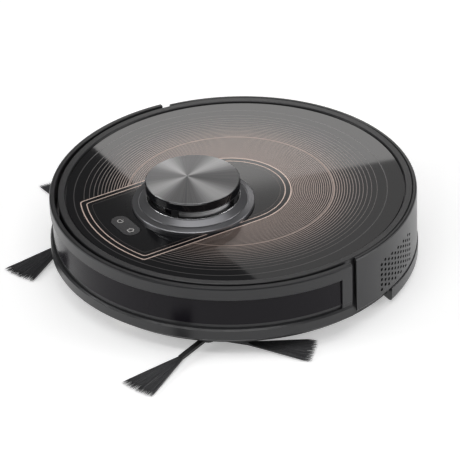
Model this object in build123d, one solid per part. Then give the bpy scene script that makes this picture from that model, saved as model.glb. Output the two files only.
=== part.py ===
from build123d import *
import math
import os

# A round cleaning robot with a scanning turret, in millimetres.
# The floor is z = 0, the body's axis is x = y = 0, and the robot drives towards -Y.

# Heights of the body
RIM_Z = 74.5
SKIRT_LOW = 19.0
PLATE_LOW = 12.0
PLATE_THICK = 3.0
RAISED_LOW = 19.0
RAISED_FROM_Y = 72.0
DECK_LOW = 68.8
DECK_TOP = 71.3
PANEL_TOP = 72.9

# Radii of the body
SHELL_R = 168.0
SHELL_IN = 165.5
RIM_IN = 164.3
COVER_R = 163.8
SKIRT_R = 163.6
SKIRT_IN = 161.6
PLATE_R = 163.0
PANEL_R = 156.2
BUMPER_R = 172.0
BUMPER_IN = 166.0
WINDOW_R = 170.0
LIP_R = 173.0
SHELL_FROM_Y = 26.6
BUMPER_TO_Y = 19.0
WINDOW_TO_Y = 8.0

# Turret
TURRET_Y = -44.6
FLANGE_R = 56.4
TURRET_BORE = 42.5
CAP_R = 43.8
CAP_LOW = 90.2
CAP_TOP = 97.6
DISC_R = 43.0
DRUM_R = 37.5
PULLEY_STEP = 44.0

# Button
BUTTON_Y = -116.6
BUTTON_HALF_X = 17.9
BUTTON_HALF_Y = 8.4
BUTTON_GAP = 0.4
ROCKER_Z = 66.4

# Running gear
WHEEL_X = 104.0
WHEEL_Y = 20.0
WHEEL_R = 34.0
WHEEL_WIDTH = 18.0
HUB_R = 24.0
PIVOT_Y = -24.0
PIVOT_Z = 40.0
ARM_X = (84.0, 101.5)
CASTER_Y = -122.0
CASTER_TRAIL = 4.0
CASTER_R = 11.0
RUNNING = 0.05

# Cleaning gear
BRUSH_X = 112.0
BRUSH_Y = -98.0
BRUSH_REACH = 100.0
ARM_REACH = 38.0
RIGHT_BRUSH_TURN = -72.0
LEFT_BRUSH_TURN = -71.0
ROLLER_Y = 46.0
ROLLER_Z = 21.0
ROLLER_R = 20.5
CHAMBER_IN = 22.5
CHAMBER_OUT = 23.9
ROLLER_HALF = 72.0
FAN_X = 104.0
FAN_Y = 88.0
FAN_R = 24.0
BIN_X = 76.0
BIN_Y = 74.0
BIN_Z = (24.0, 60.0)
BIN_BAY_X = 78.5
BIN_BAY_Z = (22.8, 63.8)
TANK_FROM_Y = 73.5
TANK_R = 168.8
TANK_Z = (3.4, 18.6)

# Vents in the side shell
VENT_R = 1.6
VENT_COLUMNS = 11
VENT_ROWS = 6
VENT_FROM_DEG = 20.6
VENT_STEP_DEG = 1.95
VENT_LOW = 25.6
VENT_RISE = 5.4


def block(x, y, z):
    """Box between (low, high) pairs."""
    size = [high - low for low, high in (x, y, z)]
    middle = [(low + high) / 2 for low, high in (x, y, z)]
    return Pos(*middle) * Box(*size)


def rod(r, z0, z1, x=0.0, y=0.0):
    """Upright cylinder."""
    return Pos(x, y, (z0 + z1) / 2) * Cylinder(r, z1 - z0)


def tube(r_in, r_out, z0, z1, x=0.0, y=0.0):
    """Upright tube."""
    return rod(r_out, z0, z1, x, y) - rod(r_in, z0 - 1, z1 + 1, x, y)


def rod_x(r, x0, x1, y, z):
    """Cylinder along X."""
    return Pos((x0 + x1) / 2, y, z) * Rot(0, 90, 0) * Cylinder(r, x1 - x0)


def rod_y(r, y0, y1, x, z):
    """Cylinder along Y."""
    return Pos(x, (y0 + y1) / 2, z) * Rot(90, 0, 0) * Cylinder(r, y1 - y0)


def turned(points, x=0.0, y=0.0):
    """Solid of revolution about a vertical axis from (radius, height) points."""
    outline = make_face(Polyline(*points, close=True))
    return Pos(x, y, 0) * revolve(Plane.XZ * outline, Axis.Z)


def behind(y):
    """Half-space block for everything behind a given y."""
    return block((-250, 250), (y, 250), (-5, 120))


def ahead(y):
    """Half-space block for everything ahead of a given y."""
    return block((-250, 250), (-250, y), (-5, 120))


def pill(half_x, half_y, z0, z1, y):
    """Upright prism with round ends along X."""
    straight = half_x - half_y
    return (
        block((-straight, straight), (y - half_y, y + half_y), (z0, z1))
        + rod(half_y, z0, z1, straight, y)
        + rod(half_y, z0, z1, -straight, y)
    )


def coil(radius, wire, pitch, turns):
    """Helical spring along +Z from the origin."""
    path = Helix(pitch=pitch, height=pitch * turns, radius=radius)
    start = Plane(path @ 0, z_dir=path % 0)
    return sweep(start * Circle(wire / 2), path=path)


def flipped(part):
    """The same piece on the other side of the body."""
    return mirror(part, about=Plane.YZ)


def both(part):
    """A piece and its mirror image as two solids."""
    return Compound(children=[*part.solids(), *flipped(part).solids()])


def group(parts):
    """Several loose solids in one node."""
    return Compound(children=[solid for part in parts for solid in part.solids()])


# ---------------------------------------------------------------- outer body


def chassis():
    """Floor pan with wheel wells, roller mouth and pivot brackets."""
    low = rod(PLATE_R, PLATE_LOW, PLATE_LOW + PLATE_THICK) & ahead(RAISED_FROM_Y)
    high = rod(SHELL_IN - 0.05, RAISED_LOW, RAISED_LOW + PLATE_THICK) & behind(RAISED_FROM_Y - 2)
    step = block((-146, 146), (RAISED_FROM_Y - 2, RAISED_FROM_Y), (PLATE_LOW, RAISED_LOW + 1))
    pan = low + high + step
    wells = [block((78, 102), (-34, 58), (0, 30)), block((102, 126), (-19.5, 58), (0, 30))]
    pan -= wells + [flipped(well) for well in wells]
    pan -= block((-74, 74), (23.5, 68.5), (0, 30))
    pan -= rod(21.6, 0, 30, 0, CASTER_Y)
    pan -= [rod(5, 0, 30, side * BRUSH_X, BRUSH_Y) for side in (-1, 1)]
    inner = block((74, 77.5), (PIVOT_Y - 6, PIVOT_Y + 6), (14.5, 47))
    outer = block((103, 106), (PIVOT_Y - 5.5, PIVOT_Y + 4.5), (14.5, 47))
    ears = (inner + outer) - rod_x(3.02, 70, 110, PIVOT_Y, PIVOT_Z)
    return pan + ears + flipped(ears)


def inner_skirt():
    """Upright wall between the floor pan and the deck, open at the bin and the vents."""
    wall = tube(SKIRT_IN, SKIRT_R, PLATE_LOW + PLATE_THICK, DECK_LOW)
    wall -= block((-250, 250), (RAISED_FROM_Y - 2, 250), (0, RAISED_LOW + PLATE_THICK))
    wall -= block((-BIN_BAY_X, BIN_BAY_X), (100, 250), BIN_BAY_Z)
    port = block((100, 250), (-250, 250), (23, 59)) & turned_sector(19, 43)
    return wall - port


def turned_sector(low, high):
    """Wedge between two angles about the body's axis."""
    reach = 260
    points = [(0, 0)]
    for angle in (low, (low + high) / 2, high):
        points.append((reach * math.cos(math.radians(angle)), reach * math.sin(math.radians(angle))))
    return extrude(make_face(Polyline(*points, close=True)), 120)


def rear_shell():
    """Side shell round the back with a rolled rim, the bin's window and vent holes."""
    ring = turned([
        (SHELL_IN, SKIRT_LOW), (SHELL_R - 0.6, SKIRT_LOW), (SHELL_R, SKIRT_LOW + 0.8),
        (SHELL_R, RIM_Z - 1.8), (SHELL_R - 0.5, RIM_Z - 0.7), (SHELL_R - 1.5, RIM_Z),
        (RIM_IN + 0.4, RIM_Z), (RIM_IN, RIM_Z - 0.5), (RIM_IN, RIM_Z - 2), (SHELL_IN, RIM_Z - 4),
    ])
    ring = ring & behind(SHELL_FROM_Y)
    ring -= block((-BIN_BAY_X, BIN_BAY_X), (100, 250), BIN_BAY_Z)
    return ring - vent_holes()


def vent_holes():
    """Staggered round holes through the side shell."""
    holes = []
    for column in range(VENT_COLUMNS):
        angle = VENT_FROM_DEG + column * VENT_STEP_DEG
        shift = VENT_RISE / 2 if column % 2 else 0
        for row in range(VENT_ROWS):
            height = VENT_LOW + shift + row * VENT_RISE
            if height < 57:
                drill = Rot(0, 90, 0) * Cylinder(VENT_R, 8)
                holes.append(Rot(0, 0, angle) * Pos(SHELL_R, 0, height) * drill)
    return holes


def top_cover():
    """Bevelled ring and the deck inside it, with the turret and button openings."""
    disc = turned([
        (0, DECK_LOW), (COVER_R, DECK_LOW), (COVER_R, RIM_Z - 0.5), (COVER_R - 0.6, RIM_Z),
        (158.0, RIM_Z - 0.1), (157.3, RIM_Z - 0.7), (157.1, 73.0), (157.1, DECK_TOP), (0, DECK_TOP),
    ])
    disc -= rod(TURRET_BORE, 60, 80, 0, TURRET_Y)
    disc -= pill(BUTTON_HALF_X + BUTTON_GAP, BUTTON_HALF_Y + BUTTON_GAP, 60, 80, BUTTON_Y)
    lugs = block((-3, 3), (-129, -125.6), (64.2, 69)) + block((-3, 3), (-107.6, -104.2), (64.2, 69))
    return disc + (lugs - rod_y(1.2 + RUNNING, -131, -102, 0, ROCKER_Z))


def top_panel():
    """Thin glossy disc let into the cover."""
    disc = rod(PANEL_R, DECK_TOP, PANEL_TOP)
    disc -= rod(50, 60, 80, 0, TURRET_Y)
    return disc - pill(BUTTON_HALF_X + BUTTON_GAP, BUTTON_HALF_Y + BUTTON_GAP, 60, 80, BUTTON_Y)


def bumper_section(window):
    """Cross-section of the bumper, with or without the seat for the window band."""
    outer = [
        (BUMPER_IN, SKIRT_LOW), (LIP_R - 1.6, SKIRT_LOW), (LIP_R, SKIRT_LOW + 1.5),
        (LIP_R, 29.6), (LIP_R - 1.4, 31),
    ]
    if window:
        outer += [(169.4, 31.4), (169.4, 35), (168, 35), (168, 61.5), (171.4, 61.5), (BUMPER_R, 62.2)]
    else:
        outer += [(171.2, 31.4), (171.2, 35), (171.6, 35.4), (BUMPER_R, 62.2)]
    rim = [
        (BUMPER_R, RIM_Z - 1.8), (BUMPER_R - 0.5, RIM_Z - 0.6), (BUMPER_R - 1.6, RIM_Z),
        (167.5, RIM_Z), (167, RIM_Z - 0.6), (167, 60), (BUMPER_IN, 58),
    ]
    return turned(outer + rim)


def bumper_shell():
    """Front half-ring that takes the knocks."""
    seat = bumper_section(True) & ahead(WINDOW_TO_Y)
    ends = bumper_section(False) & ahead(BUMPER_TO_Y) & behind(WINDOW_TO_Y)
    return seat + ends


def bumper_window():
    """Dark glossy band let into the bumper."""
    band = turned([
        (168.05, 35.1), (WINDOW_R - 0.3, 35.1), (WINDOW_R, 35.5), (WINDOW_R, 61.0),
        (WINDOW_R - 0.3, 61.4), (168.05, 61.4),
    ])
    return band & ahead(WINDOW_TO_Y - 0.1)


def bumper_springs():
    """Two leaf springs that push the bumper forwards."""
    leaves = []
    for angle in (-125, -55):
        leaf = tube(SKIRT_R + 0.1, SKIRT_R + 0.5, 42, 50) & turned_sector(angle - 7, angle + 7)
        foot = tube(SKIRT_R + 0.4, BUMPER_IN - 0.1, 44, 48) & turned_sector(angle - 1, angle + 1)
        leaves.append(leaf + foot)
    return group(leaves)


def bumper_switches():
    """Two switches that feel the bumper move."""
    body = block((56, 72), (-140, -132), (28, 40))
    lever = block((58, 70), (-141.4, -140), (36, 38))
    return both(body + lever)


# ---------------------------------------------------------------- turret


def turret_base():
    """Satin flange with a groove and a cone up to the scanning gap."""
    return turned([
        (TURRET_BORE, DECK_TOP), (49.6, DECK_TOP), (49.6, 73.0), (FLANGE_R, 73.0), (FLANGE_R, 75.4),
        (FLANGE_R - 0.6, 76.0), (50.8, 77.2), (50.5, 76.6), (49.9, 76.6), (49.5, 77.6),
        (44.4, 81.2), (43.6, 81.6), (42.9, 81.6), (TURRET_BORE, 81.2),
    ], 0, TURRET_Y)


def turret_cage():
    """Ring and pillars that carry the cap above the scanner."""
    low = tube(39.3, 42.3, 67.6, 82)
    top = tube(39.3, 42.3, 88.6, 90.1)
    posts = []
    for angle in (36, 126, 216, 306):
        post = tube(39.3, 42.3, 81, 89) & turned_sector(angle - 4.5, angle + 4.5)
        posts.append(post)
    cage = low + top
    for post in posts:
        cage += post
    return Pos(0, TURRET_Y, 0) * cage


def turret_cap():
    """Gloss cap over the scanner."""
    return turned([
        (0, CAP_LOW), (CAP_R - 0.6, CAP_LOW), (CAP_R, CAP_LOW + 0.7), (CAP_R, CAP_TOP - 0.5),
        (CAP_R - 0.5, CAP_TOP), (0, CAP_TOP),
    ], 0, TURRET_Y)


def turret_disc():
    """Brushed metal disc on the cap."""
    return turned([
        (0, CAP_TOP), (DISC_R, CAP_TOP), (DISC_R, CAP_TOP + 0.4), (DISC_R - 0.4, CAP_TOP + 0.8),
        (0, CAP_TOP + 0.8),
    ], 0, TURRET_Y)


def lidar_base():
    """Plate under the deck with the scanner's bearing and motor seat."""
    plate = rod(50, 58, 61) + block((-12, 12), (30, 58), (58, 61))
    plate += rod(9, 50, 58)
    plate -= rod(5 + RUNNING, 40, 70)
    plate -= rod(2, 40, 70, 0, PULLEY_STEP)
    for angle in (20, 160, 215, 325):
        plate += Rot(0, 0, angle) * Pos(46.5, 0, 64.9) * Cylinder(2.5, 7.8)
    return Pos(0, TURRET_Y, 0) * plate


def lidar_turntable():
    """Turning table with its shaft and belt groove."""
    return turned([
        (0, 48), (5, 48), (5, 61.3), (33, 61.3), (33, 62.2), (37, 62.2), (37, 63.2), (35, 63.6),
        (35, 65.4), (37, 65.8), (37, 68.4), (0, 68.4),
    ], 0, TURRET_Y)


def lidar_optics():
    """Drum that holds the laser and the receiver, with a pocket for the lenses."""
    drum = turned([
        (0, 68.45), (DRUM_R, 68.45), (DRUM_R, 82.3), (DRUM_R - 0.7, 82.6), (DRUM_R - 0.7, 87.4),
        (DRUM_R, 87.6), (DRUM_R, 88.1), (0, 88.1),
    ])
    pocket = block((-22, 22), (-45, -28), (71, 86))
    return Pos(0, TURRET_Y, 0) * (drum - pocket)


def lidar_lenses():
    """Laser window and receiver lens."""
    laser = rod_y(4.5, TURRET_Y - 31, TURRET_Y - 28.05, -13, 78.5)
    receiver = rod_y(6.5, TURRET_Y - 32, TURRET_Y - 28.05, 10, 78.5)
    return group([laser, receiver])


def lidar_pulley():
    """Small pulley on the motor's shaft."""
    return turned([
        (0, 44), (1.0, 44), (1.0, 62.2), (6, 62.2), (6, 63.2), (4.2, 63.6), (4.2, 65.4),
        (6, 65.8), (6, 66.6), (0, 66.6),
    ], 0, TURRET_Y + PULLEY_STEP)


def lidar_belt():
    """Round the two grooves, a hair clear of both."""
    outer = make_hull(Circle(36.5).edges() + (Pos(0, PULLEY_STEP) * Circle(5.7)).edges())
    inner = make_hull(Circle(35.3).edges() + (Pos(0, PULLEY_STEP) * Circle(4.5)).edges())
    return Pos(0, TURRET_Y, 63.7) * extrude(outer - inner, 1.6)


def lidar_motor():
    """Small motor that turns the scanner."""
    can = rod(10, 38, 57.9) - rod(1 + RUNNING, 43, 60)
    return Pos(0, TURRET_Y + PULLEY_STEP, 0) * can


# ---------------------------------------------------------------- button


def button_rocker():
    """Pill-shaped rocker on a rib with a stub pin at each end."""
    cap = pill(BUTTON_HALF_X, BUTTON_HALF_Y, 69.6, 73.2, BUTTON_Y)
    rib = block((-3.2, 3.2), (-125.1, -108.1), (64.4, 69.7))
    feet = rod(1.6, 68.9, 69.7, 10, BUTTON_Y) + rod(1.6, 68.9, 69.7, -10, BUTTON_Y)
    return cap + rib + feet + rod_y(1.2, -129, -104.2, 0, ROCKER_Z)


def button_board():
    """Small board with a switch under each end of the rocker."""
    board = block((-22, 22), (-130, -103), (61.4, 63))
    switches = [block((side * 10 - 3, side * 10 + 3), (-119.6, -113.6), (63, 67.8)) for side in (-1, 1)]
    return board + switches[0] + switches[1]


# ---------------------------------------------------------------- running gear


def wheel_arm():
    """Gear case that swings on its pin and carries a drive wheel."""
    near = Pos(PIVOT_Y, PIVOT_Z) * Circle(9)
    far = Pos(WHEEL_Y, WHEEL_R) * Circle(15)
    spine = make_hull(near.edges() + far.edges())
    case = Pos(ARM_X[0], 0, 0) * (Plane.YZ * extrude(spine, ARM_X[1] - ARM_X[0]))
    case -= rod_x(3 + RUNNING, 80, 110, PIVOT_Y, PIVOT_Z)
    return case - rod_x(4 + RUNNING, 86, 110, WHEEL_Y, WHEEL_R)


def arm_pins():
    """Pivot pins of the wheel arms."""
    return both(rod_x(3, 73.5, 106.5, PIVOT_Y, PIVOT_Z))


def arm_springs():
    """Springs round the pins that press the wheels down."""
    return both(Pos(78.6, PIVOT_Y, PIVOT_Z) * Rot(0, 90, 0) * coil(4.6, 1.1, 1.35, 3.2))


def wheel_hub():
    """Dished wheel with an axle and six openings."""
    hub = turned([
        (0, -17), (4, -17), (4, 0.5), (8, 0.5), (9, 4), (20, 5), (20, 0.5), (HUB_R, 0.5),
        (HUB_R, 17.5), (20.5, 17.5), (19.5, 13), (9, 12), (8, 16), (0, 16),
    ])
    hub -= [Rot(0, 0, 60 * k) * rod(3.2, 0, 20, 14.5, 0) for k in range(6)]
    return Pos(WHEEL_X, WHEEL_Y, WHEEL_R) * Rot(0, 90, 0) * hub


def wheel_tyre():
    """Rubber tyre with tread bars."""
    tyre = turned([
        (HUB_R + 0.05, 0), (32, 0), (WHEEL_R, 2), (WHEEL_R, 16), (32, 18), (HUB_R + 0.05, 18),
    ])
    groove = block((WHEEL_R - 2.2, WHEEL_R + 1), (-1.4, 1.4), (3, 15))
    tyre -= [Rot(0, 0, 15 * k) * groove for k in range(24)]
    return Pos(WHEEL_X, WHEEL_Y, WHEEL_R) * Rot(0, 90, 0) * tyre


def caster_socket():
    """Cup in the floor pan with the swivel's bearing."""
    cup = tube(19.8, 21.5, PLATE_LOW, 33) + rod(21.5, 30.5, 33) + rod(8, 33, 41)
    return Pos(0, CASTER_Y, 0) * (cup - rod(4 + RUNNING, 20, 50))


def caster_fork():
    """Swivelling fork."""
    axle_y = CASTER_TRAIL
    crown = rod(13, 25.5, 29) + rod(4, 29, 40)
    cheek = block((6.2, 8.4), (axle_y - 4, axle_y + 4), (7, 26))
    cheek = cheek + block((6.2, 8.4), (-6, axle_y + 4), (18, 26))
    fork = crown + cheek + flipped(cheek)
    return Pos(0, CASTER_Y, 0) * (fork - rod_x(2.02, -10, 10, axle_y, CASTER_R))


def caster_axle():
    """Steel axle of the front wheel."""
    return rod_x(2, -8.4, 8.4, CASTER_Y + CASTER_TRAIL, CASTER_R)


def caster_wheel():
    """Small front wheel."""
    wheel = turned([
        (2 + RUNNING, -5.2), (8, -5.2), (CASTER_R, -3.4), (CASTER_R, 3.4), (8, 5.2),
        (2 + RUNNING, 5.2),
    ])
    return Pos(0, CASTER_Y + CASTER_TRAIL, CASTER_R) * Rot(0, 90, 0) * wheel


# ---------------------------------------------------------------- cleaning gear


def gear_cases():
    """Geared motors of the two side brushes and of the main roller."""
    case = rod(11, 15.1, 42, BRUSH_X, BRUSH_Y) + block((80, 112), (-108, -88), (15.1, 36))
    case -= rod(4 + RUNNING, 10, 32, BRUSH_X, BRUSH_Y)
    drive = rod_x(10, -66, -50, 4, 31) + block((-74, -66), (-6, 16), (18, 44))
    return group([case, flipped(case), drive])


def brush_arms(x, turn):
    """Rubber hub with three sloping arms and its drive shaft."""
    hub = turned([(0, 5), (6.5, 5), (9.5, 7.5), (9.5, 11.5), (4, 11.5), (4, 30), (0, 30)])
    hub -= rod(3.6, 0, 6.4)
    arm = Pos(22.5, 0, 5.9) * Rot(0, 5, 0) * Box(31, 5, 3)
    for k in range(3):
        hub += Rot(0, 0, turn + 120 * k) * arm
    return Pos(x, BRUSH_Y, 0) * hub


def bristles(x, turn):
    """Three flat fans of bristles."""
    reach = BRUSH_REACH
    fan = make_face(Polyline(
        (ARM_REACH + 0.3, -2.6), (reach - 1.5, -19), (reach, -10), (reach, 10),
        (reach - 1.5, 19), (ARM_REACH + 0.3, 2.6), close=True,
    ))
    slab = Pos(0, 0, 5.3) * Rot(0, 2.3, 0) * extrude(fan, 1.5)
    fans = [Pos(x, BRUSH_Y, 0) * Rot(0, 0, turn + 120 * k) * slab for k in range(3)]
    return group(fans)


def brush_screw(x):
    """Screw that holds a side brush."""
    slot = block((x - 2.5, x + 2.5), (BRUSH_Y - 0.5, BRUSH_Y + 0.5), (4, 5.4))
    return rod(3.4, 4.6, 6.3, x, BRUSH_Y) - slot


def roller_core():
    """Main roller's core with an axle at each end."""
    core = rod_x(7.5, -ROLLER_HALF, ROLLER_HALF, ROLLER_Y, ROLLER_Z)
    return core + rod_x(3, -76.6, 76.6, ROLLER_Y, ROLLER_Z)


def fins(start, thick, top):
    """Three long fins round the roller, every third of a turn."""
    parts = []
    for k in range(3):
        fin = block((-ROLLER_HALF, ROLLER_HALF), (-thick / 2, thick / 2), (7.7, top))
        parts.append(Pos(0, ROLLER_Y, ROLLER_Z) * Rot(start + 120 * k, 0, 0) * fin)
    return group(parts)


def brush_chamber():
    """Half-round cover over the roller, open below, with the duct to the bin."""
    shell = rod_x(CHAMBER_OUT, -76.8, 76.8, ROLLER_Y, ROLLER_Z)
    shell += block((-76.8, 76.8), (ROLLER_Y - CHAMBER_OUT, ROLLER_Y + CHAMBER_OUT), (15.1, ROLLER_Z))
    shell -= rod_x(CHAMBER_IN, -74, 74, ROLLER_Y, ROLLER_Z)
    shell -= block((-74, 74), (ROLLER_Y - CHAMBER_IN, ROLLER_Y + CHAMBER_IN), (-10, ROLLER_Z))
    shell -= block((-200, 200), (-200, 200), (-20, 15.1))
    shell -= block((-56, 56), (ROLLER_Y + 10, ROLLER_Y + 40), (31, 44))
    return shell - rod_x(3 + RUNNING, -80, 80, ROLLER_Y, ROLLER_Z)


def brush_guard():
    """Frame clipped round the roller's mouth."""
    frame = block((-77.6, 77.6), (18, 71.5), (10.4, 11.95))
    return frame - block((-73.5, 73.5), (23, 68.8), (0, 20))


def fan_housing():
    """Scroll case of the suction fan, with its outlet towards the vents."""
    case = rod(FAN_R, 25, 58) - rod(FAN_R - 2, 27, 56)
    case -= rod(9, 50, 60)
    case -= rod(2 + RUNNING, 20, 30)
    case -= Rot(0, 0, -12) * block((10, 40), (-12, 12), (29, 53))
    return Pos(FAN_X, FAN_Y, 0) * case


def fan_impeller():
    """Fan wheel with curved blades."""
    wheel = rod(19, 29, 31) + rod(6, 30, 44) + rod(2, 23, 30)
    for k in range(9):
        blade = Pos(12.3, 0, 39) * Rot(0, 0, 28) * Box(13, 1.4, 18)
        wheel += Rot(0, 0, 40 * k) * blade
    return Pos(FAN_X, FAN_Y, 0) * wheel


def dustbin_body():
    """Dust box whose back wall is part of the body's side."""
    low, high = BIN_Z
    tub = block((-BIN_X, BIN_X), (BIN_Y, 200), BIN_Z) & rod(SHELL_R, 0, 90)
    cavity = block((-73.5, 73.5), (BIN_Y + 2.2, 200), (low + 2.2, high + 5)) & rod(162.5, 0, 90)
    tub -= cavity
    tub -= block((-57, 57), (BIN_Y - 5, BIN_Y + 5), (31, 44))
    return tub - block((-14.4, 14.4), (164.4, 200), (35.6, 50.4))


def dustbin_lid():
    """Lid clipped over the dust box."""
    plate = block((-BIN_X, BIN_X), (BIN_Y, 200), (BIN_Z[1] + 0.05, BIN_Z[1] + 2.4))
    return plate & rod(161, 0, 90)


def dustbin_filter():
    """Pleated filter along one side of the dust box."""
    frame = block((61, 73.3), (88, 136), (27, 58))
    for k in range(11):
        y = 92 + 4 * k
        frame -= block((60, 64), (y, y + 2), (30, 55))
    return frame


def dustbin_latch():
    """Press latch in the back of the dust box."""
    plate = block((-14, 14), (166.2, 200), (36, 50))
    return plate & rod(SHELL_R + 0.3, 0, 90)


def water_tank():
    """Crescent-shaped tank under the back, with its filler hole."""
    low, high = TANK_Z
    outer = turned([
        (0, low), (TANK_R - 5, low), (TANK_R - 1.6, low + 1.4), (TANK_R, low + 4.5),
        (TANK_R, high - 0.6), (TANK_R - 0.6, high), (0, high),
    ])
    inner = rod(TANK_R - 6, low + 2.2, high - 2.2) & behind(TANK_FROM_Y + 2.5)
    tank = (outer & behind(TANK_FROM_Y)) - inner
    return tank - rod(6, 10, 30, 60, 96)


def tank_plug():
    """Soft plug in the tank's filler hole."""
    return turned([
        (0, 16.4), (5.5, 16.4), (5.95, 17.0), (5.95, TANK_Z[1]), (0, TANK_Z[1]),
    ], 60, 96)


# ---------------------------------------------------------------- inside and underside


def battery_pack():
    """Battery between the wheels and the front wheel."""
    return block((-45, 45), (-82, -10), (15.1, 37))


def battery_cover():
    """Cover plate on the underside."""
    plate = block((-52, 52), (-88, -4), (10.6, 11.95))
    heads = [rod(3.2, 0, 11, x, y) for x in (-46, 46) for y in (-83, -9)]
    return plate - heads


def main_board():
    """Control board with its larger parts."""
    board = block((-55, 55), (-96, -16), (45, 46.6))
    board += block((-10, 10), (-70, -50), (46.6, 48.6))
    board += block((22, 34), (-84, -66), (46.6, 52))
    board += block((-40, -28), (-40, -28), (46.6, 54))
    return board


def cliff_windows():
    """Four windows that watch for a drop."""
    pane = pill(6.5, 3.5, 11.2, 11.95, 0)
    return group([Rot(0, 0, a + 90) * Pos(0, -152, 0) * pane for a in (-165, -116, -64, -15)])


def charge_contacts():
    """Two metal plates on the underside."""
    return both(Pos(40, 0, 0) * pill(11, 4.5, 10.8, 11.95, -142))


def chassis_screws():
    """Screws through the underside."""
    spots = [(150, 0), (132, -58), (60, -120), (60, -30), (24, -150)]
    heads = []
    for x, y in spots:
        head = rod(3, 10.9, 11.95, x, y) - block((x - 2, x + 2), (y - 0.5, y + 0.5), (10, 11.4))
        heads += [head, flipped(head)]
    covers = [rod(3, 10.7, 11.9, x, y) for x in (-46, 46) for y in (-83, -9)]
    return group(heads)


NODES = {
    "chassis": chassis,
    "inner_skirt": inner_skirt,
    "rear_shell": rear_shell,
    "top_cover": top_cover,
    "top_panel": top_panel,
    "bumper_shell": bumper_shell,
    "bumper_window": bumper_window,
    "bumper_springs": bumper_springs,
    "bumper_switches": bumper_switches,
    "turret_base": turret_base,
    "turret_cage": turret_cage,
    "turret_cap": turret_cap,
    "turret_disc": turret_disc,
    "lidar_base": lidar_base,
    "lidar_turntable": lidar_turntable,
    "lidar_optics": lidar_optics,
    "lidar_lenses": lidar_lenses,
    "lidar_pulley": lidar_pulley,
    "lidar_belt": lidar_belt,
    "lidar_motor": lidar_motor,
    "button_rocker": button_rocker,
    "button_board": button_board,
    "right_wheel_arm": wheel_arm,
    "left_wheel_arm": lambda: flipped(wheel_arm()),
    "arm_pins": arm_pins,
    "arm_springs": arm_springs,
    "right_wheel_hub": wheel_hub,
    "left_wheel_hub": lambda: flipped(wheel_hub()),
    "right_wheel_tyre": wheel_tyre,
    "left_wheel_tyre": lambda: flipped(wheel_tyre()),
    "caster_socket": caster_socket,
    "caster_fork": caster_fork,
    "caster_axle": caster_axle,
    "caster_wheel": caster_wheel,
    "gear_cases": gear_cases,
    "right_brush_arms": lambda: brush_arms(BRUSH_X, RIGHT_BRUSH_TURN),
    "left_brush_arms": lambda: brush_arms(-BRUSH_X, LEFT_BRUSH_TURN),
    "right_bristles": lambda: bristles(BRUSH_X, RIGHT_BRUSH_TURN),
    "left_bristles": lambda: bristles(-BRUSH_X, LEFT_BRUSH_TURN),
    "right_brush_screw": lambda: brush_screw(BRUSH_X),
    "left_brush_screw": lambda: brush_screw(-BRUSH_X),
    "roller_core": roller_core,
    "roller_bristles": lambda: fins(0, 3.0, ROLLER_R),
    "roller_blades": lambda: fins(60, 1.6, ROLLER_R - 0.6),
    "brush_chamber": brush_chamber,
    "brush_guard": brush_guard,
    "fan_housing": fan_housing,
    "fan_impeller": fan_impeller,
    "dustbin_body": dustbin_body,
    "dustbin_lid": dustbin_lid,
    "dustbin_filter": dustbin_filter,
    "dustbin_latch": dustbin_latch,
    "water_tank": water_tank,
    "tank_plug": tank_plug,
    "battery_pack": battery_pack,
    "battery_cover": battery_cover,
    "main_board": main_board,
    "cliff_windows": cliff_windows,
    "charge_contacts": charge_contacts,
    "chassis_screws": chassis_screws,
}

os.makedirs("parts", exist_ok=True)
for name, make in NODES.items():
    export_step(make(), "parts/" + name + ".step")
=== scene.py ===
# %% [markdown]
# # A round cleaning robot with a scanning turret
# The moving parts, their sizes and their joints come from the packed frame. This lesson gives
# every part its finish, grows the bristles, draws the button's symbols, and sets the studio.
# Everything is in metres: the floor is z = 0 and the robot drives towards -Y.

# %% Load the frame
import math

import bpy
import numpy as np
from mathutils import Matrix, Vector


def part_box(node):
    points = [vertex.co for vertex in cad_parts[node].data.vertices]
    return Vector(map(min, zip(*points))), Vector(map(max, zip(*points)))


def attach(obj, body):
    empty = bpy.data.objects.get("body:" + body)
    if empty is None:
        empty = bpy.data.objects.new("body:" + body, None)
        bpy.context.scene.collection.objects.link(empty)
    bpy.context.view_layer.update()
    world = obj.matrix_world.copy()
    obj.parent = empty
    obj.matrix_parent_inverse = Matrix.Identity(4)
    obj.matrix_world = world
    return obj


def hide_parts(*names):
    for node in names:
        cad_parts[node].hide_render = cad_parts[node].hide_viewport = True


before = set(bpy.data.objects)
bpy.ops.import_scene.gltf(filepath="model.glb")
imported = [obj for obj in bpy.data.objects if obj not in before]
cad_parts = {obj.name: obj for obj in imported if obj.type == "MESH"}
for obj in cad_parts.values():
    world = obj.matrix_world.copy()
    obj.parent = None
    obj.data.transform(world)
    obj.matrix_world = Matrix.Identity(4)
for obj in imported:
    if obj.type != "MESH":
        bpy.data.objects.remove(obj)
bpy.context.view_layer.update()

# %% [markdown]
# ## Measures from the frame
# A finish that follows a part, such as printed rings, needs that part's centre. It could be typed
# in again, but reading the boxes of the nodes keeps the print on the part when the frame changes.

# %% Centres and heights
def centre(node):
    """Middle of a node's box."""
    low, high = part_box(node)
    return (np.array(low) + np.array(high)) / 2


TURRET = centre("turret_disc")
BUTTON = centre("button_rocker")
BUTTON_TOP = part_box("button_rocker")[1][2]
PANEL_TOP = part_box("top_panel")[1][2]
print("turret", TURRET.round(4), "button", BUTTON.round(4), "panel top", round(PANEL_TOP, 4))

# %% [markdown]
# ## Shader sums as plain expressions
# A pattern is a formula of the position. Wiring each Math node by hand hides the formula, so a
# small class wraps a socket: writing `a * b + 1` adds the nodes, and the formula stays readable.
# One function makes every node, whatever its kind: it takes the settings first, and then the
# values or links of its sockets.

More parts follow.
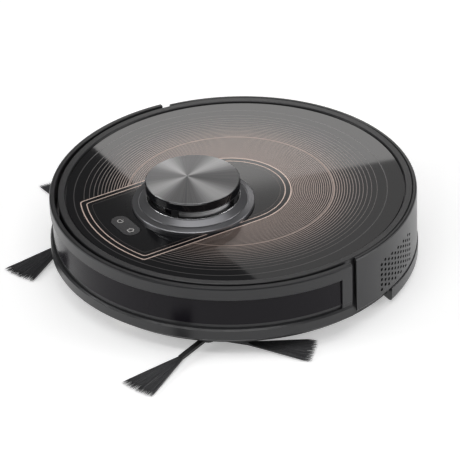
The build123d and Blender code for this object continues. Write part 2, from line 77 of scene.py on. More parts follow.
# %% The socket class
class Value:
    """A socket in a node tree. Sums written with it add Math nodes to the tree."""

    def __init__(self, tree, socket):
        self.tree = tree
        self.socket = socket

    def math(self, operation, *others, **settings):
        return node(self.tree, "ShaderNodeMath", {"operation": operation, **settings}, [self, *others])

    def __add__(self, other):
        return self.math("ADD", other)

    def __sub__(self, other):
        return self.math("SUBTRACT", other)

    def __mul__(self, other):
        return self.math("MULTIPLY", other)

    def __truediv__(self, other):
        return self.math("DIVIDE", other)

    def __rsub__(self, other):
        return node(self.tree, "ShaderNodeMath", {"operation": "SUBTRACT"}, [other, self])

    def __rtruediv__(self, other):
        return node(self.tree, "ShaderNodeMath", {"operation": "DIVIDE"}, [other, self])

    def __neg__(self):
        return self * -1.0

    __radd__ = __add__
    __rmul__ = __mul__

    def abs(self):
        return self.math("ABSOLUTE")

    def max(self, other):
        return self.math("MAXIMUM", other)

    def min(self, other):
        return self.math("MINIMUM", other)

    def under(self, limit, soft):
        """1 below the limit and 0 above it, over a soft step: clamp((limit - v) / soft + 0.5)."""
        return ((limit - self) / soft).math("ADD", 0.5, use_clamp=True)

    def line(self, width, soft):
        """1 where |v| is under half the width."""
        return self.abs().under(width / 2, soft)


print("sums", [name for name in vars(Value) if name[0] != "_"])

# %% One way to add a node
def node(tree, kind, settings=None, inputs=(), output=0):
    """Adds a node: settings first, then values or links by socket number or name."""
    made = tree.nodes.new(kind)
    for key, value in (settings or {}).items():
        setattr(made, key, value)
    pairs = inputs.items() if isinstance(inputs, dict) else enumerate(inputs)
    for key, value in pairs:
        if isinstance(value, Value):
            tree.links.new(value.socket, made.inputs[key])
        else:
            made.inputs[key].default_value = value
    return Value(tree, made.outputs[output])


print("node helper ready")

# %% [markdown]
# ## One way to start a material
# Each material begins with a Principled shader whose constants are set on its own sockets, and only
# what changes over the surface is linked. The position is the object's own coordinates, which ride
# with the part, so no pattern slides when a part moves.

# %% Material helpers
def material(name, colour, rough, **constants):
    """A new material with its Principled shader: returns (material, tree, shader)."""
    made = bpy.data.materials.new(name)
    made.use_nodes = True
    tree = made.node_tree
    shader = tree.nodes["Principled BSDF"]
    shader.inputs["Base Color"].default_value = (*colour, 1.0)
    shader.inputs["Roughness"].default_value = rough
    for key, value in constants.items():
        shader.inputs[key.replace("_", " ")].default_value = value
    return made, tree, shader


def position(tree, middle=(0, 0, 0)):
    """Object coordinates, measured from a middle: p - middle."""
    place = node(tree, "ShaderNodeTexCoord", output=3)
    return node(tree, "ShaderNodeVectorMath", {"operation": "SUBTRACT"}, [place, middle])


def axes(tree, place):
    """The three numbers of a vector."""
    first = node(tree, "ShaderNodeSeparateXYZ", inputs=[place])
    return [Value(tree, output) for output in first.socket.node.outputs]


def noise(tree, place, scale, detail=2.0, rough=0.5):
    """Cloudy noise about 0.5."""
    return node(tree, "ShaderNodeTexNoise", inputs={
        "Vector": place, "Scale": scale, "Detail": detail, "Roughness": rough})


def opaque(colour):
    """A plain colour with full alpha; a colour from a node stays as it is."""
    return colour if isinstance(colour, Value) else (*colour, 1.0)


def blend(tree, share, first, second):
    """Colour between two colours: first * (1 - share) + second * share."""
    ends = {0: share, 6: opaque(first), 7: opaque(second)}
    return node(tree, "ShaderNodeMix", {"data_type": "RGBA"}, ends, output=2)


def feed(tree, shader, **sockets):
    """Links values to the shader's sockets."""
    for key, value in sockets.items():
        tree.links.new(value.socket, shader.inputs[key.replace("_", " ")])


def bump(tree, shader, height, distance):
    """Raises the surface by height * distance."""
    raised = node(tree, "ShaderNodeBump", inputs={"Height": height, "Distance": distance})
    feed(tree, shader, Normal=raised)


print("material helpers ready")

# %% [markdown]
# ## Moulded plastic
# Injection-moulded covers have a spark-eroded grain a few tenths of a millimetre wide, and the
# gloss varies slowly where hands and machines touch them. Two noises give both: a fine one raises
# the surface, and a broad one shifts the roughness and the shade.

# %% Moulded plastic
def moulded(name, colour, rough, grain=0.00002, size=1500.0, spread=0.08, **constants):
    """Grained plastic: shade = colour * (0.78 to 1.25) by a broad and a fine noise, roughness =
    rough +- spread by the broad one, and bump by the fine one. Grain is its height, size its scale."""
    made, tree, shader = material(name, colour, rough, **constants)
    place = position(tree)
    broad = noise(tree, place, 28.0, 4.0, 0.6)
    fine = noise(tree, place, size, 2.0, 0.6)
    light = tuple(min(1.0, c * 1.25) for c in colour)
    dark = tuple(c * 0.78 for c in colour)
    feed(tree, shader, Base_Color=blend(tree, broad * 0.7 + fine * 0.3, dark, light),
         Roughness=broad * spread * 2 + (rough - spread))
    bump(tree, shader, fine, grain)
    return made


BODY = moulded("charcoal shell", (0.019, 0.019, 0.0205), 0.33,
               Coat_Weight=0.12, Coat_Roughness=0.14, Specular_IOR_Level=0.4)
UNDER = moulded("underside plastic", (0.016, 0.016, 0.017), 0.5)
TANK = moulded("tank plastic", (0.02, 0.02, 0.022), 0.3)
CASE = moulded("gear case plastic", (0.05, 0.05, 0.054), 0.45)
CAGE = moulded("cage plastic", (0.010, 0.010, 0.011), 0.35)
# Painted light: the drum's grey is set lighter to stand in for light that the cap's shade keeps out of the
# scanning gap.
LIGHTENED_DRUM = moulded("drum plastic painted lighter", (0.75, 0.75, 0.76), 0.25, Coat_Weight=0.5, Coat_Roughness=0.1)
SMOKE = moulded("smoked plastic", (0.03, 0.03, 0.034), 0.16, grain=0.000005)
RUBBER = moulded("soft rubber", (0.018, 0.018, 0.019), 0.62, grain=0.00004, size=900.0)
CELLS = moulded("battery wrap", (0.03, 0.06, 0.16), 0.32, grain=0.000008, size=300.0)
BOARD = moulded("board lacquer", (0.01, 0.07, 0.03), 0.3, grain=0.00001, size=600.0)
PAPER = moulded("filter paper", (0.7, 0.69, 0.64), 0.8, grain=0.00005, size=1200.0)
print("plastics", len(bpy.data.materials))

# %% [markdown]
# ## Printed panel
# The top is a dark gloss sheet printed with fine metallic rings that crowd together inwards. Two
# copper outlines mark a plain field round the turret and the button: straight sides, a half-round
# end behind the turret and a curved front. The rings could be modelled as wires, but print has no
# height, so masks of the distance from the centre switch the colour, the metal share and the gloss.

# %% Panel measures
RINGS_Y = -0.0049
PRINT_EDGE = 0.1447
FIRST_GAP = 0.0093
CROWDING = 1.6
DENSE_DEPTH = 0.045
BRIGHT_RING = 0.0955
FIELD_HALF = 0.0588
FIELD_ARC_Y = -0.0083
FIELD_FRONT = 0.1435
INNER_OUTLINE = 0.0053
FAINT_OUTLINE = 0.0098
SOFT_EDGE = 0.0003
print("rings start", PRINT_EDGE, "m from their centre, field is", 2 * FIELD_HALF, "m wide")


# %% Key-shaped field


def field_distance(x, y):
    """Distance to the edge of the plain field, negative inside: the larger of the distance past
    the sides, length(x, max(y - arc, 0)) - half, and the distance past the front, length(x, y) - front."""
    back = (y - FIELD_ARC_Y).max(0.0)
    sides = (x * x + back * back).math("SQRT") - FIELD_HALF
    front = (x * x + y * y).math("SQRT") - FIELD_FRONT
    corner = 0.004
    return sides.math("SMOOTH_MAX", front, corner)


print("field reaches from y =", FIELD_ARC_Y + FIELD_HALF, "to", -FIELD_FRONT)

# %% Printed panel
def printed_panel():
    """Dark gloss sheet. Ring k lies where (depth / first gap) ** crowding = k, with depth measured
    inwards from the print's edge, so the rings stand 9 mm apart there and about 2 mm further in.
    The distance to the nearest ring is the phase's distance to a whole number times the spacing,
    which is one over the phase's slope."""
    made, tree, shader = material("printed panel", (0.010, 0.010, 0.012), 0.03, IOR=1.5)
    x, y, _ = axes(tree, position(tree))
    off = y - RINGS_Y
    radius = (x * x + off * off).math("SQRT")
    depth = (PRINT_EDGE - radius).max(0.00001)
    inward = (depth / DENSE_DEPTH).min(1.0)
    field = field_distance(x, y)
    outside = (-field).under(0.0, SOFT_EDGE)

    phase = (depth / FIRST_GAP).math("POWER", CROWDING)
    spacing = FIRST_GAP ** CROWDING / CROWDING / depth.math("POWER", CROWDING - 1)
    gap = phase.math("PINGPONG", 0.5) * spacing
    half_width = inward * 0.00014 + 0.00024
    strength = inward * 0.6 + 0.3
    rings = gap.under(half_width, 0.00025) * radius.under(PRINT_EDGE + 0.0005, 0.0004) * strength
    bright = (radius - BRIGHT_RING).line(0.0009, SOFT_EDGE) * 0.9
    inner = (field + INNER_OUTLINE).line(0.0009, SOFT_EDGE)
    outline = field.line(0.0011, SOFT_EDGE).max(inner)
    faint = (field + FAINT_OUTLINE).line(0.0005, SOFT_EDGE) * 0.2
    ink = (rings.max(bright) * outside).max(outline).max(faint).min(1.0)

    warm = blend(tree, inward, (0.22, 0.21, 0.21), (0.38, 0.295, 0.26))
    copper = blend(tree, outline, warm, (0.80, 0.62, 0.54))
    feed(tree, shader, Base_Color=blend(tree, ink, (0.008, 0.008, 0.009), copper),
         Metallic=ink * (0.5 - outline * 0.1), Roughness=ink * 0.22 - outside * 0.05 + 0.08)
    return made


PANEL = printed_panel()
print("panel nodes", len(PANEL.node_tree.nodes))

# %% [markdown]
# ## Gloss black, dark windows and satin metal
# Gloss plastic shows faint flow marks and a few rubs. The bumper's band is dyed dark so that only
# infrared passes, so it reads as near-black glass with a violet cast. The turret's flange is
# satin paint with fine flake. Each could be one flat black or grey, but then large smooth parts
# look like paper, so slow waves, rubs and flake break up every reflection a little.

# %% Gloss and dark windows
def gloss(name, colour, rough=0.08, **constants):
    """Polished plastic: shade = colour * (1 to 1.4) by slow waves, roughness = rough / 2 + light rubs."""
    made, tree, shader = material(name, colour, rough, **constants)
    place = position(tree)
    wave = noise(tree, place, 14.0, 1.0)
    rubs = noise(tree, place, 160.0, 6.0, 0.7)
    light = tuple(c * 1.4 for c in colour)
    feed(tree, shader, Base_Color=blend(tree, wave, colour, light), Roughness=rubs * 0.09 + rough * 0.5)
    bump(tree, shader, wave, 0.00004)
    return made


GLOSS = gloss("gloss black", (0.006, 0.006, 0.007))
WINDOW = gloss("infrared window", (0.005, 0.004, 0.006), 0.3, Specular_IOR_Level=0.16)
PILL = gloss("button black", (0.016, 0.016, 0.018), 0.35)
print("gloss finishes", GLOSS.name, WINDOW.name, PILL.name)

# %% Satin metal
def satin(name, colour, rough, metal):
    """Satin paint or plate: shade = colour * (1 to 1.3) by fine flake, roughness = rough +- 0.05 by
    soft clouds."""
    made, tree, shader = material(name, colour, rough, Metallic=metal, Coat_Weight=0.2, Coat_Roughness=0.3)
    place = position(tree)
    flake = noise(tree, place, 2600.0, 1.0)
    cloud = noise(tree, place, 30.0, 3.0)
    light = tuple(min(1.0, c * 1.3) for c in colour)
    feed(tree, shader, Base_Color=blend(tree, flake, colour, light), Roughness=cloud * 0.1 + (rough - 0.05))
    bump(tree, shader, flake, 0.000008)
    return made


SATIN = satin("satin grey flange", (0.20, 0.20, 0.21), 0.3, 0.85)
MOTOR = satin("motor can", (0.32, 0.32, 0.33), 0.35, 0.9)
STEEL = satin("bright steel", (0.55, 0.55, 0.56), 0.25, 1.0)
CONTACT = satin("plated contact", (0.62, 0.58, 0.5), 0.22, 1.0)
print("satin finishes", SATIN.name, MOTOR.name, STEEL.name, CONTACT.name)

# %% [markdown]
# ## Brushed disc
# The disc on the turret is turned and brushed, so light spreads into wedges from its centre. Real
# scratches are too fine to model: a noise of the angle shades thin rays, part brush lines and part
# painted highlight, a noise of the radius raises rings, and four broad wedges of painted highlight in
# the colour stand for the light that the scratches spread, with one side painted lighter as if lit.
# The painted wedges meet a little off the disc's middle, as a turned face's highlights do when it
# isn't quite flat.

# %% Brushed metal
# Centre offset and turn of the painted highlight star.
PAINTED_STAR_OFF = (-0.0075, -0.0014)
PAINTED_STAR_TURN = math.radians(8)
# Angle of the side of the disc that is painted lighter, as if lit.
PAINTED_LIT_SIDE = math.radians(195)


def brushed_disc():
    """Metal with painted light in its colour: a painted highlight star, cos(4 angle) sharpened by a
    power, plus thin rays by a noise of the angle, part brush lines and part painted highlight, and one
    slow painted lightening towards the lit side. Its bump is half rings by a noise of the radius and
    half rays."""
    made, tree, shader = material("brushed disc", (0.4, 0.4, 0.41), 0.3, Metallic=1.0)
    x, y, _ = axes(tree, position(tree, (TURRET[0] + PAINTED_STAR_OFF[0], TURRET[1] + PAINTED_STAR_OFF[1], 0)))
    radius = (x * x + y * y).math("SQRT")
    angle = y.math("ARCTAN2", x)
    ring = node(tree, "ShaderNodeCombineXYZ", inputs=[angle.math("COSINE"), angle.math("SINE"), 0.0])
    rays = noise(tree, ring, 42.0, 8.0, 0.8)
    # Painted highlight: four wedges of light drawn into the base colour.
    star = (((angle - PAINTED_STAR_TURN) * 4).math("COSINE") * 0.5 + 0.5).math("POWER", 2.2)
    # Painted light: the disc's colour is made lighter towards that side.
    turn = (angle - PAINTED_LIT_SIDE).math("COSINE") * 0.12
    out = node(tree, "ShaderNodeCombineXYZ", inputs=[radius, 0.0, 0.0])
    rings = noise(tree, out, 2600.0, 2.0)
    # The base colour's shade is painted light: the highlight star, the rays and the lit side together.
    shade = (star * 0.5 + rays * 0.55 + turn - 0.1).min(1.0).max(0.0)
    feed(tree, shader, Base_Color=blend(tree, shade, (0.09, 0.09, 0.093), (0.74, 0.74, 0.75)),
         Roughness=rays * 0.2 + 0.22)
    bump(tree, shader, rings * 0.5 + rays * 0.5, 0.00001)
    return made


DISC = brushed_disc()
print("disc centre", TURRET.round(4))

# %% [markdown]
# ## Dress the frame's parts
# Each part already sits in its place and has its shape. Materials could be set part by part, but a
# table from finish to parts is shorter and shows at a glance what is made of what. A part that the
# table leaves out is reported.

# %% Finish of every part
FINISH = {
    BODY: ["rear_shell", "bumper_shell", "top_cover"],
    PANEL: ["top_panel"],
    GLOSS: ["turret_cap"],
    PILL: ["button_rocker"],
    WINDOW: ["bumper_window", "cliff_windows", "lidar_lenses"],
    SATIN: ["turret_base"],
    CAGE: ["turret_cage"],
    TANK: ["water_tank"],
    DISC: ["turret_disc"],
    LIGHTENED_DRUM: ["lidar_optics", "lidar_turntable", "lidar_pulley"],
    UNDER: ["chassis", "inner_skirt", "battery_cover", "brush_guard", "caster_socket", "caster_fork",
            "brush_chamber", "fan_housing", "lidar_base", "dustbin_lid", "bumper_switches"],
    CASE: ["gear_cases", "right_wheel_arm", "left_wheel_arm", "right_wheel_hub", "left_wheel_hub",
           "fan_impeller", "roller_core"],
    RUBBER: ["lidar_belt", "tank_plug", "right_wheel_tyre", "left_wheel_tyre", "caster_wheel",
             "right_brush_arms", "left_brush_arms"],
    STEEL: ["arm_pins", "arm_springs", "caster_axle", "bumper_springs", "chassis_screws",
            "right_brush_screw", "left_brush_screw"],
    MOTOR: ["lidar_motor"],
    CONTACT: ["charge_contacts"],
    BOARD: ["main_board", "button_board"],
    CELLS: ["battery_pack"],
    SMOKE: ["dustbin_body", "dustbin_latch"],
    PAPER: ["dustbin_filter"],
}
for finish, parts in FINISH.items():
    for part in parts:
        for part_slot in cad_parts[part].material_slots:
            part_slot.material = finish
dressed = {part for parts in FINISH.values() for part in parts}
print("left for new pieces:", sorted(set(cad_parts) - dressed))

# %% [markdown]
# ## Surfaces from grids
# Bristles, blades, beads and printed strokes are too fine or too many to model by hand. Each is a
# grid of points worked out in one go, and one helper joins neighbouring points into quads. A tube
# closes across the grid, so its last column joins its first, and its ends narrow almost to a point.

# %% Grid helper
def grid_mesh(name, points, closed=False):
    """Mesh from an array (pieces, rows, columns, 3); quads join each point to its next row and column."""
    count, rows, columns, _ = points.shape
    index = np.arange(count * rows * columns).reshape(count, rows, columns)
    right = np.roll(index, -1, axis=2)
    stop = columns if closed else columns - 1
    quads = np.stack([index[:, :-1, :stop], right[:, :-1, :stop],
                      right[:, 1:, :stop], index[:, 1:, :stop]], axis=-1).reshape(-1, 4)
    mesh = bpy.data.meshes.new(name)
    mesh.from_pydata(points.reshape(-1, 3).tolist(), [], quads.tolist())
    made = bpy.data.objects.new(name, mesh)
    bpy.context.scene.collection.objects.link(made)
    mesh.polygons.foreach_set("use_smooth", np.ones(len(quads), dtype=bool))
    return made


print("grid helper ready")

# %% Fibre helper
def fibres(root, tip, sag, thick):
    """Tapered tubes, one per root and tip. A point at share t of the way and angle a round it is
    root + (tip - root) t + sag t (1 - t) up + width(t) (cos a side + sin a over)."""
    t = np.array([0.0, 0.02, 0.3, 0.6, 0.85, 1.0])[None, :, None, None]
    a = (np.arange(5) * 2 * math.pi / 5)[None, None, :, None]
    run = (tip - root)[:, None, None, :]
    up = np.array([0.0, 0.0, 1.0])
    side = np.cross(run, up)
    side /= np.linalg.norm(side, axis=-1, keepdims=True)
    over = np.cross(side, run)
    over /= np.linalg.norm(over, axis=-1, keepdims=True)
    width = thick * np.array([0.02, 1.0, 1.0, 0.9, 0.7, 0.02])[None, :, None, None]
    line = root[:, None, None, :] + run * t + sag[:, None, None, None] * t * (1 - t) * up
    return line + width * (np.cos(a) * side + np.sin(a) * over)


print("fibre helper ready")

# %% [markdown]
# ## Side brush bristles
# Each rubber arm of a side brush holds a flat fan of nylon bristles. A fan could be one flat sheet,
# but its ragged tips would be lost, so each bristle is a thin tapered tube from the arm's end to a
# scattered tip. The fans stand for the frame's flat slabs and turn with the same brush.

# %% Nylon
def nylon(name, dark, light):
    """Bristle nylon: the shade runs from dark to light by a noise finer than the gap between bristles."""
    made, tree, shader = material(name, dark, 0.42)
    streak = noise(tree, position(tree), 700.0, 2.0)
    feed(tree, shader, Base_Color=blend(tree, streak, dark, light), Roughness=streak * 0.2 + 0.32)
    bump(tree, shader, streak, 0.00002)
    return made


NYLON = nylon("side brush nylon", (0.012, 0.012, 0.013), (0.075, 0.075, 0.08))
print("nylon", NYLON.name)

# %% One fan of bristles
BRISTLES = 150
BRISTLE_R = 0.00046
ARM_END = 0.0365
REACH = 0.0995
ROOT_HALF = 0.0022
TIP_HALF = 0.0178
ROOT_Z = 0.0040
TIP_Z = 0.0017


def fan(random):
    """Bristles along +X from the arm's end. Each starts at its share of the root's width and ends at
    the same share of the tips' width, at the reach less a ragged 3 mm and less a crown of 1.5 mm."""
    across = np.linspace(-1, 1, BRISTLES) + random.uniform(-0.02, 0.02, BRISTLES)
    root = np.stack([np.full(BRISTLES, ARM_END), across * ROOT_HALF,
                     ROOT_Z + random.uniform(-0.0007, 0.0007, BRISTLES)], axis=1)
    reach = REACH - random.uniform(0, 0.003, BRISTLES) - 0.0015 * across ** 2
    tip = np.stack([reach, across * TIP_HALF,
                    TIP_Z + random.uniform(-0.0008, 0.0008, BRISTLES)], axis=1)
    return fibres(root, tip, random.uniform(-0.001, 0.001, BRISTLES), BRISTLE_R)


print("bristles in a fan", BRISTLES)

# %% Both side brushes
RIGHT_TURN = -72.0
LEFT_TURN = -71.0


def brush_fans(name, hub_node, slab, turn, body, seed):
    """Three fans, each turned about the hub by the brush's turn plus a third of a circle more."""
    random = np.random.default_rng(seed)
    hub = centre(hub_node) * [1, 1, 0]
    fans = []
    for arm in range(3):
        angle = math.radians(turn + 120 * arm)
        spin = np.array([[math.cos(angle), math.sin(angle), 0],
                         [-math.sin(angle), math.cos(angle), 0], [0, 0, 1]])
        fans.append(fan(random) @ spin + hub)
    made = grid_mesh(name, np.concatenate(fans), closed=True)
    made.data.materials.append(NYLON)
    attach(made, body)
    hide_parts(slab)
    print(name, len(made.data.polygons), "faces round", hub.round(3))


brush_fans("right_brush_fans", "right_brush_screw", "right_bristles", RIGHT_TURN, "right_brush", 3)
brush_fans("left_brush_fans", "left_brush_screw", "left_bristles", LEFT_TURN, "left_brush", 4)

# %% [markdown]
# ## Roller fins
# The main roller carries rubber blades and rows of bristles wound in a shallow chevron, so that dirt
# is swept to the middle. Straight fins in the frame stand for them, and they could be dressed as
# they are, but the chevron is what such a roller is known by. So the blades are thin wound strips,
# and each bristle row is a wound line of single bristles.

# %% Roller measures
ROLLER = centre("roller_core")
ROLLER_HALF = 0.0715
CORE_R = 0.0074
BLADE_R = 0.0196
TUFT_R = 0.0202
WIND = math.radians(40)


def wound(x, turn):
    """Angle round the roller at a point along it: turn + wind * |x| / half."""
    return turn + WIND * np.abs(x) / ROLLER_HALF


print("roller at", ROLLER.round(4))

# %% Wound blades
def roller_blades():
    """Three strips. The outline, given as radius and side in millimetres and closed, is carried along
    the roller and turned at each x to the angle of wound(x). Its ends shrink to the outline's middle."""
    x = np.linspace(-ROLLER_HALF, ROLLER_HALF, 61)
    half_outline = [(CORE_R, 1.2), (0.012, 0.8), (0.0185, 0.5), (BLADE_R, 0.1)]
    outline = np.array([(r, -side) for r, side in half_outline] + half_outline[::-1])
    strips = []
    for k in range(3):
        angle = wound(x, math.radians(60 + 120 * k))[:, None]
        r = outline[:, 0][None, :]
        side = outline[:, 1][None, :] * 0.001
        y = r * np.cos(angle) - side * np.sin(angle)
        z = r * np.sin(angle) + side * np.cos(angle)
        along = np.broadcast_to(x[:, None], y.shape)
        strips.append(np.stack([along, y, z], axis=-1))
    points = np.stack(strips)
    ends = points[:, [0, -1]].mean(axis=2, keepdims=True).repeat(points.shape[2], axis=2)
    points = np.concatenate([ends[:, :1], points, ends[:, 1:]], axis=1)
    return grid_mesh("roller_wound_blades", points + ROLLER, closed=True)


BLADE = moulded("roller rubber", (0.03, 0.03, 0.032), 0.55, grain=0.00003, size=900.0)
print("blade rubber", BLADE.name)

# %% Wound bristle rows
def roller_tufts():
    """Three wound rows: each bristle runs out from the core to the tufts' radius less up to 0.6 mm,
    and its tip leans along the roller by up to 0.6 mm."""
    random = np.random.default_rng(8)
    rows = []
    count = 420
    along_roller = np.array([1.0, 0, 0])
    for k in range(3):
        x = np.linspace(-ROLLER_HALF + 0.001, ROLLER_HALF - 0.001, count)
        angle = wound(x, math.radians(120 * k)) + random.uniform(-0.05, 0.05, count)
        out = np.stack([np.zeros(count), np.cos(angle), np.sin(angle)], axis=1)
        root = out * CORE_R + x[:, None] * along_roller
        lean = random.uniform(-0.0006, 0.0006, count)[:, None] * along_roller
        tip = out * (TUFT_R - random.uniform(0, 0.0006, count))[:, None] + lean + root * along_roller
        rows.append(fibres(root, tip, np.zeros(count), 0.0003))
    return grid_mesh("roller_wound_tufts", np.concatenate(rows) + ROLLER, closed=True)


ROW_NYLON = nylon("roller nylon", (0.03, 0.03, 0.035), (0.16, 0.16, 0.17))
print("row nylon", ROW_NYLON.name)

# %% Blades and rows on the roller
for made, finish, part, slot in ((roller_blades(), BLADE, "roller_blades", "brush_rubber"),
                                 (roller_tufts(), ROW_NYLON, "roller_bristles", "bristle")):
    made.data.materials.append(finish)
    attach(made, "roller")
    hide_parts(part)
    print(made.name, len(made.data.polygons), "faces")

# %% [markdown]
# ## Trim rings of the scanning gap
# A bright bead runs round the flange's mouth and another under the cap, and between them the
# drum shows. Each is 0.6 mm thick. A bright line in a material would have no highlight of its own,
# so each bead is a small round profile carried round a circle.

# %% Beads
def bead(name, radius, height, thick):
    """Ring: at angle a round the turret and b round the profile, the point lies at the distance
    radius + thick cos b from the turret's axis and at the height + thick sin b."""
    a = np.linspace(0, 2 * math.pi, 129)[:, None]
    b = np.linspace(0, 2 * math.pi, 9)[None, :-1]
    out = radius + thick * np.cos(b)
    points = np.stack([TURRET[0] + out * np.cos(a), TURRET[1] + out * np.sin(a),
                       height + thick * np.sin(b) + 0 * a], axis=-1)
    made = grid_mesh(name, points[None], closed=True)
    made.data.materials.append(STEEL)
    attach(made, "base")
    print(name, "radius", radius, "at", round(height, 4))


BEAD_R = 0.0003
bead("flange_bead", 0.0431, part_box("turret_base")[1][2] + 0.0001, BEAD_R)
bead("cap_bead", 0.0426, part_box("turret_cap")[0][2] - 0.0002, BEAD_R)

# %% [markdown]
# ## Button symbols
# The pill button carries two printed symbols, one to switch on and one to send the robot home. They
# could be masks in the button's material, as the panel's rings are. But a house of six straight lines
# makes a long formula, so each line is a thin strip laid a few hundredths of a millimetre above the
# surface: a path with a width, which keeps a clean edge close up.

# %% Strokes
INK_LIFT = 0.00004
INK_WIDTH = 0.00065


def stroke(path, width):
    """Strip along a path: at each point, half the width to either side, square to the path's run."""
    path = np.array(path, dtype=float)
    run = np.gradient(path, axis=0)
    run /= np.linalg.norm(run, axis=1, keepdims=True)
    side = np.stack([-run[:, 1], run[:, 0]], axis=1) * width / 2
    flat = np.stack([path - side, path + side], axis=1)
    height = np.full((*flat.shape[:2], 1), BUTTON_TOP + INK_LIFT)
    return np.concatenate([flat, height], axis=-1)[None]


def along(start, end, count=9):
    """Points on a straight run."""
    return np.linspace(start, end, count)


print("ink lies", INK_LIFT, "m above", round(BUTTON_TOP, 4))

# %% Symbols
SYMBOL_X = 0.0095
OPEN_RING_R = 0.0026


def power_symbol(x, y):
    """An open ring, 280 degrees of a circle, with a bar in its gap."""
    turn = np.linspace(math.radians(130), math.radians(410), 41)
    ring = np.stack([np.cos(turn), np.sin(turn)], axis=1) * OPEN_RING_R + [x, y]
    return [ring, along((x, y + 0.0006), (x, y + 0.0034))]


def home_symbol(x, y):
    """A roof of two strokes over a wall, a floor and a wall."""
    eaves, peak, ground = y + 0.0003, y + 0.0032, y - 0.0026
    return [
        along((x - 0.0033, eaves), (x, peak)),
        along((x, peak), (x + 0.0033, eaves)),
        along((x - 0.0022, y + 0.0010), (x - 0.0022, ground)),
        along((x - 0.0024, ground), (x + 0.0024, ground)),
        along((x + 0.0022, ground), (x + 0.0022, y + 0.0010)),
    ]


SYMBOLS = power_symbol(-SYMBOL_X, BUTTON[1]) + home_symbol(SYMBOL_X, BUTTON[1])
print("symbol strokes", len(SYMBOLS))

# %% Ink on the button
def ink():
    """Screen ink: its shade runs between two greys by a fine speck."""
    made, tree, shader = material("button ink", (0.62, 0.6, 0.58), 0.4)
    speck = noise(tree, position(tree), 900.0, 2.0)
    feed(tree, shader, Base_Color=blend(tree, speck, (0.5, 0.49, 0.48), (0.7, 0.68, 0.66)))
    return made


INK = ink()
for number, path in enumerate(SYMBOLS):
    made = grid_mesh("button_print_%d" % number, stroke(path, INK_WIDTH))
    made.data.materials.append(INK)
    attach(made, "rocker")
print("printed", number + 1, "strokes on the rocker")

# %% [markdown]
# ## Floor and sky
# The robot stands on a pale floor under a dim pale sky. A bright sky would be simpler, but every dark
# gloss part mirrors it and turns grey. So the sky stays dim, and the floor glows a little instead,
# which keeps it white without lighting the top.

# %% Floor and sky
def flat_floor(size):
    """One square at z = 0."""
    corner = np.linspace(-size, size, 3)
    gx, gy = np.meshgrid(corner, corner)
    return grid_mesh("studio_floor", np.stack([gx, gy, gx * 0], axis=-1)[None])


floor = flat_floor(6.0)
PALE = material("pale floor", (0.93, 0.93, 0.93), 0.9,
                Emission_Color=(1, 1, 1, 1), Emission_Strength=0.35)[0]
floor.data.materials.append(PALE)
world = bpy.data.worlds.new("studio sky")
world.use_nodes = True
sky = world.node_tree.nodes["Background"]
sky.inputs["Color"].default_value = (1.0, 0.99, 0.98, 1.0)
sky.inputs["Strength"].default_value = 0.1
bpy.context.scene.world = world
bpy.context.scene.view_settings.view_transform = "Standard"
print("floor size", floor.dimensions[:])

# %% [markdown]
# ## Camera
# The camera stands in front of the robot and well round to its +X side, looking down, with a long
# lens that keeps the round body nearly free of perspective. It could be turned with angles, but
# building its three axes as vectors lets the cards use the same directions. It aims a little below
# and beside the turret's axis, which sets the robot in the frame without a lens shift.

# %% Camera axes
AZIMUTH = math.radians(60.0)
LIFT = math.radians(32.3)
ROLL = math.radians(2.0)
DISTANCE = 3.4
AIM_HEIGHT = 0.0745
AIM_LEFT = 0.00462
AIM_DOWN = 0.03973

toward = np.array([math.sin(AZIMUTH) * math.cos(LIFT), -math.cos(AZIMUTH) * math.cos(LIFT), math.sin(LIFT)])
level = np.array([math.cos(AZIMUTH), math.sin(AZIMUTH), 0.0])
upward = np.cross(toward, level)
right = math.cos(ROLL) * level - math.sin(ROLL) * upward
up = math.sin(ROLL) * level + math.cos(ROLL) * upward
AIM = np.array([0, 0, AIM_HEIGHT]) - right * AIM_LEFT - up * AIM_DOWN
print("looks along", (-toward).round(3), "at", AIM.round(4))

# %% Camera object
def looking(place, right_way, up_way, back_way):
    """Matrix of an object at a place whose x, y and z axes are given."""
    matrix = np.eye(4)
    matrix[:3, 0], matrix[:3, 1], matrix[:3, 2], matrix[:3, 3] = right_way, up_way, back_way, place
    return Matrix(matrix.tolist())


lens = bpy.data.cameras.new("studio camera")
lens.lens = 288.0
lens.sensor_width = 36.0
lens.clip_end = 50.0
camera = bpy.data.objects.new("studio camera", lens)
bpy.context.scene.collection.objects.link(camera)
camera.matrix_world = looking(AIM + toward * DISTANCE, right, up, toward)
bpy.context.scene.camera = camera
print("camera at", [round(v, 3) for v in camera.matrix_world.translation])

# %% [markdown]
# ## Soft boxes
# A soft box is an area light with a size and a power. The camera doesn't see the boxes themselves.
# Each is placed by where it stands and what it looks at, and its brightness is worked out from the
# radiance wanted: power = radiance * pi * area. Point lamps would be simpler, but they leave hard
# shadows and pin-sharp glints. One box hangs overhead, one lights each side, and a wide thin strip in
# front brightens the bumper's upper edge.

# %% Soft boxes
def soft_box(name, place, target, width, height, radiance):
    """A level rectangular light at a place, facing a target, unseen by the camera."""
    back = np.array(place, dtype=float) - np.array(target, dtype=float)
    back /= np.linalg.norm(back)
    side = np.cross([0, 0, 1.0], back)
    side /= np.linalg.norm(side)
    data = bpy.data.lights.new(name, "AREA")
    data.shape = "RECTANGLE"
    data.size = width
    data.size_y = height
    data.energy = radiance * math.pi * width * height
    made = bpy.data.objects.new(name, data)
    bpy.context.scene.collection.objects.link(made)
    made.matrix_world = looking(place, side, np.cross(back, side), back)
    made.visible_camera = False


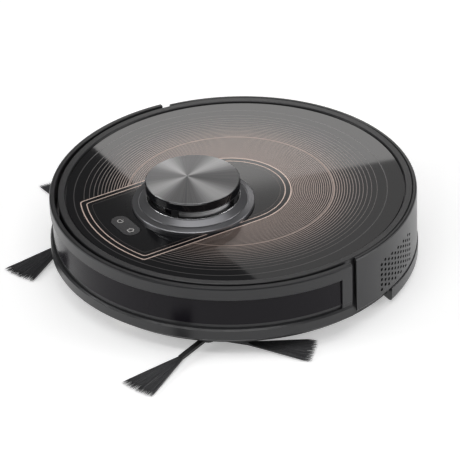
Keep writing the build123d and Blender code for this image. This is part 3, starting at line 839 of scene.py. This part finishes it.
soft_box("overhead box", (0.3, 0.2, 2.6), (0, 0, 0), 2.4, 2.4, 1.15)
soft_box("right box", (1.25, 1.75, 0.75), (0.05, 0.1, 0.04), 1.5, 1.0, 5.0)
soft_box("rim strip", (0.85, -0.95, 2.12), (0, 0, 0.07), 3.0, 0.4, 4.0)
soft_box("left box", (-0.9, -2.1, 0.9), (0, 0, 0.04), 1.2, 1.0, 7.0)
print("lights", len(bpy.data.lights))

# %% [markdown]
# ## Cards in the panel's reflection
# Two flat glowing cards stand where the gloss panel mirrors them towards the camera. Their edges cut
# the panel into dark, middle and bright fields that meet at a knee beside the turret. Bigger soft
# boxes could do it too, but an area light is a rectangle, and these fields have slanted corners. So
# each card is drawn on the panel, in a plan seen from the camera, and carried out along the mirrored
# view.

# %% Cards
CARD_REACH = 1.2
CARD_SPREAD = 1.35
away = np.array([-toward[0], -toward[1], 0]) / math.cos(LIFT)
mirror_ray = np.array([-toward[0], -toward[1], toward[2]])


def mirrored(x_view, y_view):
    """Place of a card's corner: the point x to the right and y away in the plan, spread wider as the
    lines of sight part, and carried along the mirrored view by the reach."""
    plan = x_view * level + y_view * away
    return np.array([0, 0, PANEL_TOP]) + plan * CARD_SPREAD + mirror_ray * CARD_REACH


def card(name, corners, radiance):
    """Flat glowing card whose corners are given in the plan that the panel mirrors."""
    points = np.array([mirrored(*corner) for corner in corners])
    mesh = bpy.data.meshes.new(name)
    mesh.from_pydata(points.tolist(), [], [tuple(range(len(corners)))])
    made = bpy.data.objects.new(name, mesh)
    bpy.context.scene.collection.objects.link(made)
    glow = material(name, (0, 0, 0), 0.5,
                    Emission_Color=(1.0, 0.985, 0.97, 1), Emission_Strength=radiance)[0]
    mesh.materials.append(glow)
    made.visible_camera = False
    print(name, "radiance", radiance)


KNEE = (-0.072, -0.001)
SHOULDER = (0.332, 0.112)
card("bright card", [KNEE, SHOULDER, (0.332, 0.330), (-0.196, 0.330), (-0.196, 0.216)], 2.3)
card("middle card", [KNEE, (0.093, -0.251), (0.332, -0.251), SHOULDER], 0.6)

# %% [markdown]
